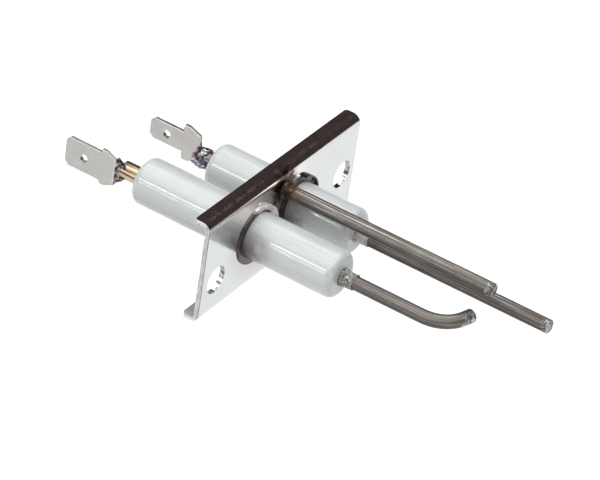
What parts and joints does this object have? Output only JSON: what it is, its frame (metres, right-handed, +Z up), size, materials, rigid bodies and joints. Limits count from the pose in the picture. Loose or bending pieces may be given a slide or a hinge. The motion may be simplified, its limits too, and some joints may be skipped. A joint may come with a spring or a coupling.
{
  "type": "ignition electrode",
  "caption": "Burner ignition electrode with a pressed mounting bracket, glazed insulators, a bent spark rod, a straight flame-sensing rod, a welded ground rod and push-on tab terminals.",
  "frame": {"origin": "midway between the two screw holes, on the bracket's front face", "axes": "+X along the rods towards their tips, +Y along the bracket towards the flame-sensing rod, +Z up across the bracket, on the side where the ground rod is welded"},
  "size_m": [0.0972, 0.05, 0.0218],
  "materials": {
    "bracket_steel": "bright rolled sheet",
    "glazed_alumina": "clear glaze",
    "ring_steel": "dark spring steel",
    "electrode_wire": "drawn, lightly oxidised",
    "weld_metal": "heat tinted",
    "terminal_steel": "satin plated",
    "refractory_cement": "matt, gritty"
  },
  "bodies": {
    "root": {"mounting_bracket": "bracket_steel", "spark_insulator": "glazed_alumina", "flame_insulator": "glazed_alumina", "spark_retaining_ring": "ring_steel", "flame_retaining_ring": "ring_steel", "spark_rod": "electrode_wire", "flame_rod": "electrode_wire", "ground_rod": "electrode_wire", "ground_rod_weld": "weld_metal", "spark_terminal": "terminal_steel", "flame_terminal": "terminal_steel", "spark_terminal_weld": "weld_metal", "flame_terminal_weld": "weld_metal", "spark_front_cement": "refractory_cement", "spark_rear_cement": "refractory_cement", "flame_front_cement": "refractory_cement", "flame_rear_cement": "refractory_cement"}
  },
  "joints": []
}
